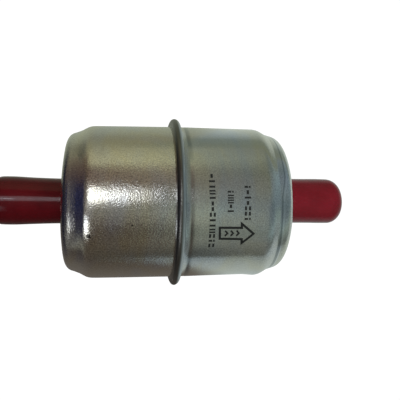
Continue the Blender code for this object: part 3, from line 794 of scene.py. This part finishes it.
def ribbon(name, path, width, closed=True, step=0.35, thickness=0.035, lift=0.012):
    """One closed band of constant width that follows a path on the outlet half, mitred at its corners."""
    pts = [np.array(p, float) for p in path]
    fine = []
    n = len(pts)
    for i in range(n if closed else n - 1):
        a, b = pts[i], pts[(i + 1) % n]
        count = max(1, int(math.ceil(np.linalg.norm(b - a) / step)))
        for k in range(count):
            fine.append((a + (b - a) * k / count, k == 0))
    if not closed:
        fine.append((pts[-1], True))
    m = len(fine)
    left, right = [], []
    for i in range(m):
        p = fine[i][0]
        if closed:
            prev, nxt = fine[(i - 1) % m][0], fine[(i + 1) % m][0]
        else:
            prev = fine[i - 1][0] if i else p - (fine[1][0] - p)
            nxt = fine[i + 1][0] if i < m - 1 else p + (p - fine[i - 1][0])
        d0, d1 = p - prev, nxt - p
        d0, d1 = d0 / np.linalg.norm(d0), d1 / np.linalg.norm(d1)
        n0, n1 = np.array((-d0[1], d0[0])), np.array((-d1[1], d1[0]))
        mitre = n0 + n1
        mitre = mitre / np.linalg.norm(mitre)
        scale = min(2.2, 1.0 / max(0.3, float(mitre @ n0)))
        left.append(p + mitre * scale * width / 2)
        right.append(p - mitre * scale * width / 2)
    verts, faces = [], []
    for level in (lift - thickness, lift):
        for row in (left, right):
            for q in row:
                rad = body_radius(q[0])
                th = q[1] / rad
                r = rad + 0.004 + level
                verts.append((q[0] * MM, r * MM * math.sin(th), r * MM * math.cos(th)))
    lo_l, lo_r, hi_l, hi_r = 0, m, 2 * m, 3 * m
    for i in range(m if closed else m - 1):
        j = (i + 1) % m
        faces.append((hi_l + i, hi_r + i, hi_r + j, hi_l + j))
        faces.append((lo_l + i, lo_l + j, lo_r + j, lo_r + i))
        faces.append((lo_l + i, hi_l + i, hi_l + j, lo_l + j))
        faces.append((lo_r + i, lo_r + j, hi_r + j, hi_r + i))
    if not closed:
        faces.append((lo_l, lo_r, hi_r, hi_l))
        e = m - 1
        faces.append((lo_l + e, hi_l + e, hi_r + e, lo_r + e))
    return make_object(name, verts, faces, INK, 20.0)


def on_housing(obj):
    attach(obj, "housing")
    return obj


def bar(x0, x1, s0, s1, c=0.10):
    """Rounded block between two x and two arc positions."""
    return [(x0 + c, s0), (x1 - c, s0), (x1, s0 + c), (x1, s1 - c), (x1 - c, s1), (x0 + c, s1), (x0, s1 - c), (x0, s0 + c)]


# flow arrow: an outline that points to the outlet, with three plain chevrons inside
ARROW = [(9.75, -5.75), (15.35, -5.85), (15.25, -4.75), (18.45, -7.45), (15.65, -10.15), (15.55, -8.95), (9.95, -8.75)]
on_housing(ribbon("flow_arrow_outline", ARROW, 0.58))
for k in range(3):
    cx = 11.15 + 1.45 * k
    on_housing(ribbon(f"flow_arrow_chevron_{k + 1}", [(cx, -6.55), (cx + 0.62, -7.27), (cx + 0.02, -7.99)], 0.44, False))


def tick_row(name, x0, x1, s0, s1, cells, seed, lean=0.0):
    """A run of plain ticks, blocks and dots between two arc positions, in place of a line of print."""
    rng = np.random.default_rng(seed)
    pitch = (s1 - s0) / cells
    shapes = []
    w = x1 - x0
    for i in range(cells):
        a = s0 + pitch * i
        d = pitch
        kind = int(rng.integers(0, 5))
        off = lean * (i / cells)
        xa, xb = x0 + off, x1 + off
        if kind == 0:      # long tick
            shapes.append(bar(xa, xb, a + d * 0.30, a + d * 0.66))
        elif kind == 1:    # two ticks
            shapes.append(bar(xa, xb, a + d * 0.08, a + d * 0.37))
            shapes.append(bar(xa, xb, a + d * 0.60, a + d * 0.89))
        elif kind == 2:    # two blocks, one above the other
            shapes.append(bar(xa, xa + w * 0.34, a + d * 0.12, a + d * 0.84))
            shapes.append(bar(xb - w * 0.34, xb, a + d * 0.12, a + d * 0.84))
        elif kind == 3:    # short tick and a dot
            shapes.append(bar(xa, xa + w * 0.56, a + d * 0.28, a + d * 0.66))
            shapes.append(bar(xb - w * 0.28, xb, a + d * 0.28, a + d * 0.66, 0.06))
        else:              # short middle block
            shapes.append(bar(xa + w * 0.30, xb - w * 0.30, a + d * 0.12, a + d * 0.84))
    return on_housing(wrap_solid(name, shapes))


tick_row("print_row_long", 6.95, 8.45, 7.85, -11.4, 14, 3, 0.30)
tick_row("print_row_short", 11.60, 13.10, 3.75, -2.20, 5, 8, 0.0)
tick_row("print_row_middle", 15.90, 17.45, 5.05, -4.25, 7, 5, 0.0)


# ------------------------------------------------------------------ pieces inside
for node, mat in (("seam_seal_ring", RUBBER), ("outlet_grommet", RUBBER), ("spring_seat", SHEET), ("closed_end_cap", SHEET),
                  ("open_end_cap", SHEET), ("paper_seam_clip", SHEET), ("center_tube", SHEET), ("closed_end_adhesive", RESIN),
                  ("open_end_adhesive", RESIN), ("pleated_paper", PAPER), ("element_spring", WIRE)):
    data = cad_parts[node].data
    data.materials.clear()
    data.materials.append(mat)


def coil(name, mat):
    """The element's spring as a round wire over its CAD node."""
    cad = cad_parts["element_spring"]
    xs = [(cad.matrix_world @ v.co).x / MM for v in cad.data.vertices]
    wire, radius, live, dead, around, per_turn = 0.65, 8.20, 2.5, 0.75, 14, 40
    x0, x1 = min(xs) + wire * 0.866, max(xs) - wire * 0.866
    total, lead = live + 2 * dead, 2.05 * wire * 0.30
    steps = int(total * per_turn)
    verts, faces = [], []
    for i in range(steps + 1):
        turn = total * i / steps
        share = min(max((turn - dead) / live, 0.0), 1.0)
        if turn < dead:
            x = x0 + lead * turn
        elif turn > total - dead:
            x = x1 - lead * (total - turn)
        else:
            x = x0 + lead * dead + (x1 - x0 - 2 * lead * dead) * share
        th = 2 * math.pi * turn
        for k in range(around):
            ph = 2 * math.pi * k / around
            r = radius + wire * math.cos(ph)
            verts.append(((x + wire * math.sin(ph)) * MM, r * math.sin(th) * MM, r * math.cos(th) * MM))
        if i:
            a, b = (i - 1) * around, i * around
            faces += [(a + k, b + k, b + (k + 1) % around, a + (k + 1) % around) for k in range(around)]
    faces.append(tuple(range(around)))
    faces.append(tuple(steps * around + k for k in range(around))[::-1])
    obj = make_object(name, verts, faces, mat, 60.0)
    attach(obj, "housing")
    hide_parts("element_spring")
    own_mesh(obj)
    return obj


coil("element_spring_wire", WIRE)


# ------------------------------------------------------------------ floor
def plain_floor():
    n = Nodes("floor_pale")
    light = n.node("ShaderNodeLightPath")
    geo = n.node("ShaderNodeNewGeometry")
    x, y, z = n.xyz(geo.outputs["Position"])
    # what the metal sees of the table: lit on the far side, shaded on the near side and to the left
    far_l = n.ramp(n.remap(y, 0.0, 0.30), [(0.0, (0.46, 0.49, 0.42)), (0.12, (0.36, 0.39, 0.31)), (0.35, (0.25, 0.25, 0.19)), (1.0, (0.27, 0.265, 0.18))])
    far_r = n.ramp(n.remap(y, 0.0, 0.30), [(0.0, (0.60, 0.66, 0.62)), (0.12, (0.50, 0.56, 0.52)), (0.22, (0.34, 0.39, 0.37)), (0.35, (0.20, 0.235, 0.205)), (1.0, (0.20, 0.225, 0.180))])
    far = n.mix(n.remap(x, 0.009, 0.024, 0.0, 1.0, True), far_l, far_r)
    near_l = n.ramp(n.remap(y, -0.30, 0.0), [(0.0, (0.085, 0.070, 0.060)), (0.65, (0.11, 0.095, 0.085)), (1.0, (0.16, 0.145, 0.13))])
    near_r = n.ramp(n.remap(y, -0.30, 0.0), [(0.0, (0.28, 0.325, 0.33)), (0.65, (0.38, 0.43, 0.43)), (1.0, (0.50, 0.56, 0.54))])
    near = n.mix(n.remap(x, 0.009, 0.024, 0.0, 1.0, True), near_l, near_r)
    seen = n.mix(n.remap(y, -0.004, 0.004), near, far)
    into = n.xyz(geo.outputs["Incoming"])[0]
    seen = n.mix(n.remap(into, 0.40, 0.86, 0.0, 1.0), seen, (0.012, 0.012, 0.026, 1.0))
    mirror = n.node("ShaderNodeEmission")
    n.link(seen, mirror.inputs["Color"])
    # what the camera sees: a pale sweep that takes a soft shadow when looked at from the side
    white = n.node("ShaderNodeEmission")
    white.inputs["Color"].default_value = (1.0, 1.0, 1.0, 1.0)
    white.inputs["Strength"].default_value = 1.06
    fine = n.noise(n.position(), 900.0, 3.0, 0.6)
    diffuse = n.principled(Base_Color=n.mix(fine, (0.86, 0.86, 0.85, 1.0), (0.90, 0.90, 0.89, 1.0)), Roughness=0.8)
    dot = n.vmath("DOT_PRODUCT", geo.outputs["Incoming"], (0.0, 0.0, 1.0))
    share = n.remap(dot, 0.60, 0.90, 0.55, 0.0, True)
    away = n.vmath("DISTANCE", n.position(), Vector((0.0, 0.0, 0.0)))
    share = n.math("MULTIPLY", share, n.remap(away, 0.10, 0.38, 1.0, 0.0, True))
    camera_mix = n.node("ShaderNodeMixShader")
    n.link(share, camera_mix.inputs[0])
    n.link(white.outputs[0], camera_mix.inputs[1])
    n.link(diffuse.outputs[0], camera_mix.inputs[2])
    final = n.node("ShaderNodeMixShader")
    n.link(light.outputs["Is Camera Ray"], final.inputs[0])
    n.link(mirror.outputs[0], final.inputs[1])
    n.link(camera_mix.outputs[0], final.inputs[2])
    n.link(final.outputs[0], n.out.inputs["Surface"])
    return n.mat


FLOOR_Z = -SEAM_R * MM - 0.00002
bm = bmesh.new()
bmesh.ops.create_grid(bm, x_segments=1, y_segments=1, size=3.0)
mesh = bpy.data.meshes.new("floor")
bm.to_mesh(mesh)
bm.free()
mesh.materials.append(plain_floor())
floor = bpy.data.objects.new("floor", mesh)
floor.location = (0, 0, FLOOR_Z)
bpy.context.scene.collection.objects.link(floor)


# ------------------------------------------------------------------ room light
def room():
    """Soft room: a lit far side, a darker near side, cool on the left, with two soft lamps overhead."""
    world = bpy.data.worlds.new("room")
    bpy.context.scene.world = world
    world.use_nodes = True
    tree = world.node_tree
    tree.nodes.clear()
    n = Nodes.__new__(Nodes)
    n.tree = tree
    n.out = tree.nodes.new("ShaderNodeOutputWorld")
    coord = n.node("ShaderNodeTexCoord")
    dx, dy, dz = n.xyz(coord.outputs["Generated"])
    beta = n.math("ARCTAN2", dy, dz)                       # 0 overhead, + towards +Y
    deg = n.math("MULTIPLY", beta, 180.0 / math.pi)
    t = n.remap(deg, -110.0, 110.0)

    def column(*stops):
        """Light round one ring of directions: (degrees from overhead, colour) from the near side to the far side."""
        return n.ramp(t, [((d + 110.0) / 220.0, c) for d, c in stops])

    # share of the ray along X, and what stands in that direction
    columns = [
        (-0.97, column(      # dark corner far to the left
            (-85, (0.02, 0.02, 0.03)), (0, (0.015, 0.015, 0.035)), (85, (0.035, 0.03, 0.02)))),
        (-0.92, column(
            (-85, (0.05, 0.05, 0.06)), (-52, (0.035, 0.035, 0.055)), (-32, (0.06, 0.06, 0.08)), (-14, (0.028, 0.028, 0.055)),
            (30, (0.030, 0.030, 0.060)), (85, (0.10, 0.08, 0.07)))),
        (-0.85, column(      # blue-black cloth beside the filter
            (-88, (0.22, 0.22, 0.20)), (-66, (0.036, 0.036, 0.052)), (-36, (0.024, 0.022, 0.046)), (-6, (0.016, 0.019, 0.056)),
            (22, (0.023, 0.023, 0.064)), (36, (0.034, 0.029, 0.052)), (50, (0.075, 0.052, 0.056)), (62, (0.085, 0.06, 0.055)),
            (78, (0.12, 0.085, 0.07)), (92, (0.20, 0.18, 0.14)), (110, (0.30, 0.29, 0.26)))),
        (-0.765, column(
            (-88, (0.22, 0.22, 0.20)), (-66, (0.036, 0.036, 0.052)), (-36, (0.024, 0.022, 0.046)), (-6, (0.016, 0.019, 0.056)),
            (22, (0.023, 0.023, 0.064)), (36, (0.034, 0.029, 0.052)), (50, (0.075, 0.052, 0.056)), (62, (0.085, 0.06, 0.055)),
            (78, (0.12, 0.085, 0.07)), (92, (0.20, 0.18, 0.14)), (110, (0.30, 0.29, 0.26)))),
        (-0.67, column(
            (-88, (0.25, 0.25, 0.23)), (-66, (0.08, 0.075, 0.08)), (-36, (0.10, 0.095, 0.10)), (-6, (0.115, 0.105, 0.11)),
            (22, (0.10, 0.09, 0.095)), (36, (0.07, 0.06, 0.065)), (50, (0.085, 0.06, 0.06)), (78, (0.13, 0.10, 0.075)),
            (92, (0.21, 0.19, 0.145)), (110, (0.30, 0.29, 0.26)))),
        (-0.42, column(
            (-85, (0.085, 0.07, 0.055)), (-66, (0.10, 0.09, 0.08)), (-56, (0.25, 0.235, 0.22)), (-20, (0.31, 0.29, 0.28)),
            (-4, (0.28, 0.25, 0.22)), (22, (0.18, 0.155, 0.14)), (42, (0.085, 0.06, 0.05)), (60, (0.14, 0.11, 0.085)),
            (78, (0.22, 0.19, 0.13)), (92, (0.27, 0.26, 0.19)))),
        (-0.36, column(
            (-85, (0.085, 0.07, 0.06)), (-55, (0.09, 0.075, 0.065)), (-42, (0.11, 0.10, 0.10)), (-18, (0.28, 0.26, 0.24)),
            (-4, (0.29, 0.27, 0.26)), (22, (0.25, 0.225, 0.215)), (30, (0.19, 0.15, 0.14)), (38, (0.13, 0.09, 0.08)),
            (48, (0.12, 0.08, 0.07)), (57, (0.20, 0.165, 0.12)), (66, (0.38, 0.35, 0.23)), (90, (0.28, 0.27, 0.19)))),
        (-0.05, column(      # over the left half of the body: brown shade in front, a band of daylight behind
            (-90, (0.070, 0.060, 0.050)), (-68, (0.086, 0.069, 0.053)), (-44, (0.084, 0.066, 0.055)),
            (-33, (0.095, 0.078, 0.074)), (-20, (0.138, 0.128, 0.128)), (-10, (0.205, 0.205, 0.195)),
            (22, (0.225, 0.200, 0.180)), (32, (0.195, 0.155, 0.137)), (46, (0.158, 0.118, 0.098)),
            (51, (0.225, 0.185, 0.132)), (58, (0.435, 0.420, 0.285)), (68, (0.445, 0.425, 0.282)), (90, (0.310, 0.302, 0.210)))),
        (0.05, column(
            (-90, (0.075, 0.070, 0.060)), (-58, (0.118, 0.095, 0.071)), (-43, (0.074, 0.057, 0.046)),
            (-33, (0.104, 0.088, 0.075)), (-20, (0.215, 0.200, 0.170)), (-4, (0.200, 0.187, 0.158)),
            (18, (0.188, 0.163, 0.136)), (28, (0.180, 0.136, 0.108)), (42, (0.240, 0.205, 0.170)),
            (52, (0.335, 0.305, 0.240)), (61, (0.500, 0.505, 0.355)), (68, (0.445, 0.450, 0.315)), (90, (0.320, 0.325, 0.245)))),
        (0.17, column(       # green-grey daylight to the right
            (-90, (0.078, 0.085, 0.075)), (-78, (0.070, 0.078, 0.068)), (-58, (0.232, 0.246, 0.196)),
            (-44, (0.214, 0.234, 0.180)), (-26, (0.332, 0.356, 0.274)), (-12, (0.344, 0.395, 0.326)),
            (4, (0.250, 0.275, 0.245)), (28, (0.205, 0.205, 0.180)), (46, (0.220, 0.220, 0.180)),
            (66, (0.305, 0.330, 0.250)), (90, (0.280, 0.300, 0.225)))),
        (0.27, column(
            (-90, (0.14, 0.15, 0.14)), (-68, (0.185, 0.197, 0.183)), (-46, (0.190, 0.212, 0.190)), (-32, (0.245, 0.274, 0.250)),
            (-8, (0.190, 0.220, 0.225)), (28, (0.185, 0.195, 0.185)), (46, (0.160, 0.175, 0.150)),
            (70, (0.240, 0.265, 0.220)), (90, (0.215, 0.235, 0.205)))),
        (0.48, column(
            (-90, (0.18, 0.20, 0.19)), (-67, (0.130, 0.140, 0.135)), (-54, (0.205, 0.255, 0.230)), (-30, (0.155, 0.190, 0.190)),
            (-8, (0.155, 0.185, 0.205)), (20, (0.190, 0.210, 0.180)), (48, (0.155, 0.180, 0.170)), (90, (0.190, 0.220, 0.205)))),
        (0.78, column(       # cool wall at the outlet end
            (-85, (0.13, 0.155, 0.145)), (-58, (0.26, 0.33, 0.32)), (-30, (0.150, 0.185, 0.195)), (-6, (0.120, 0.160, 0.170)),
            (14, (0.180, 0.225, 0.235)), (50, (0.180, 0.220, 0.255)), (66, (0.145, 0.190, 0.205)), (90, (0.220, 0.260, 0.280)))),
        (0.95, column(
            (-85, (0.29, 0.33, 0.31)), (-45, (0.22, 0.28, 0.25)), (-10, (0.165, 0.210, 0.230)), (40, (0.190, 0.250, 0.265)),
            (85, (0.24, 0.32, 0.35)))),
    ]
    colour = columns[0][1]
    for (d0, _), (d1, nxt) in zip(columns, columns[1:]):
        colour = n.mix(n.remap(dx, d0, d1), colour, nxt)

    def patch(x0, x1, b0, b1, soft_x, soft_b):
        fx = n.math("MULTIPLY", n.remap(dx, x0 - soft_x, x0 + soft_x, 0.0, 1.0, True),
                    n.remap(dx, x1 - soft_x, x1 + soft_x, 1.0, 0.0, True))
        fb = n.math("MULTIPLY", n.remap(deg, b0 - soft_b, b0 + soft_b, 0.0, 1.0, True),
                    n.remap(deg, b1 - soft_b, b1 + soft_b, 1.0, 0.0, True))
        return n.math("MULTIPLY", fx, fb)

    # soft lamp over the left half that narrows to a point on its right, with a hot core and a faint halo,
    # and a lower lamp behind the near shoulder
    reach = n.remap(dx, -0.075, 0.010, 9.8, 2.4)
    off = n.math("ABSOLUTE", n.math("SUBTRACT", deg, 11.0))
    band = n.remap(n.math("SUBTRACT", off, reach), -1.6, 1.6, 1.0, 0.0, True)
    power = n.node("ShaderNodeFloatCurve")
    curve = power.mapping.curves[0]
    for k, (px, py) in enumerate([(0.0, 0.0), (0.25, 0.0), (0.36, 0.875), (0.765, 0.875), (0.81, 0.58), (0.845, 0.27), (0.88, 0.07), (0.92, 0.0), (1.0, 0.0)]):
        if k < 2:
            curve.points[k].location = (px, py)
        else:
            curve.points.new(px, py)
    for pt in curve.points:
        pt.handle_type = "VECTOR"
    power.mapping.update()
    n.link(n.remap(dx, -0.45, 0.05), power.inputs["Value"])
    lamp = n.math("MULTIPLY", n.math("MULTIPLY", power.outputs[0], 2.4), band)
    core = n.math("MULTIPLY", patch(-0.26, -0.125, 9.2, 12.0, 0.03, 0.9), 8.0)
    halo = n.math("MULTIPLY", patch(-0.40, -0.055, -2.0, 21.0, 0.02, 3.5), 0.22)
    side = n.math("MULTIPLY", patch(-0.605, -0.27, -50.0, -25.0, 0.025, 5.0), 1.9)
    total = n.math("ADD", n.math("ADD", lamp, core), n.math("ADD", halo, side))
    lamps = n.vmath("SCALE", n.combine(1.0, 1.04, 1.12))
    lamps.node.inputs["Scale"].default_value = 1.0
    n.link(total, lamps.node.inputs["Scale"])
    lit = n.vmath("ADD", colour, lamps)
    path = n.node("ShaderNodeLightPath")
    seen = n.node("ShaderNodeBackground")
    seen.inputs["Color"].default_value = (1.0, 1.0, 1.0, 1.0)
    around = n.node("ShaderNodeBackground")
    n.link(lit, around.inputs["Color"])
    mix = n.node("ShaderNodeMixShader")
    n.link(path.outputs["Is Camera Ray"], mix.inputs[0])
    n.link(around.outputs[0], mix.inputs[1])
    n.link(seen.outputs[0], mix.inputs[2])
    n.link(mix.outputs[0], n.out.inputs["Surface"])


room()


# ------------------------------------------------------------------ a soft key so that rubber and vinyl get form
def soft_lamp(name, place, aim, size, power, colour=(1.0, 0.98, 0.94)):
    data = bpy.data.lights.new(name, "AREA")
    data.shape = "RECTANGLE"
    data.size, data.size_y = size
    data.energy = power
    data.color = colour
    lamp = bpy.data.objects.new(name, data)
    lamp.location = place
    lamp.rotation_mode = "QUATERNION"
    lamp.rotation_quaternion = (Vector(aim) - Vector(place)).to_track_quat("-Z", "Y")
    lamp.visible_glossy = False
    bpy.context.scene.collection.objects.link(lamp)
    return lamp


soft_lamp("soft_overhead", (0.10, 0.10, 0.75), (0.0, 0.0, 0.0), (0.6, 0.6), 4.0)

# ------------------------------------------------------------------ camera
cam_data = bpy.data.cameras.new("camera")
cam = bpy.data.objects.new("camera", cam_data)
bpy.context.scene.collection.objects.link(cam)
right_v = Vector((0.98751284, 0.00628625, 0.15741305))
up_v = Vector((-0.01397937, 0.99875849, 0.04781278))
view_v = Vector((0.15691706, 0.04941626, -0.98637471))
basis = Matrix((right_v, up_v, -view_v)).transposed()
cam.matrix_world = Matrix.Translation(Vector((-14.8020, 6.9969, 142.3895)) * MM) @ basis.to_4x4()
cam_data.sensor_width = 36.0
cam_data.lens = 504.79 * 36.0 / 400.0
cam_data.shift_y = -(200.0 - 151.05) / 400.0
cam_data.clip_start, cam_data.clip_end = 0.005, 50.0
bpy.context.scene.camera = cam
bpy.context.scene.view_settings.view_transform = "Standard"
bpy.context.scene.view_settings.look = "None"

# ------------------------------------------------------------------ last update of the view layer
bpy.context.view_layer.update()
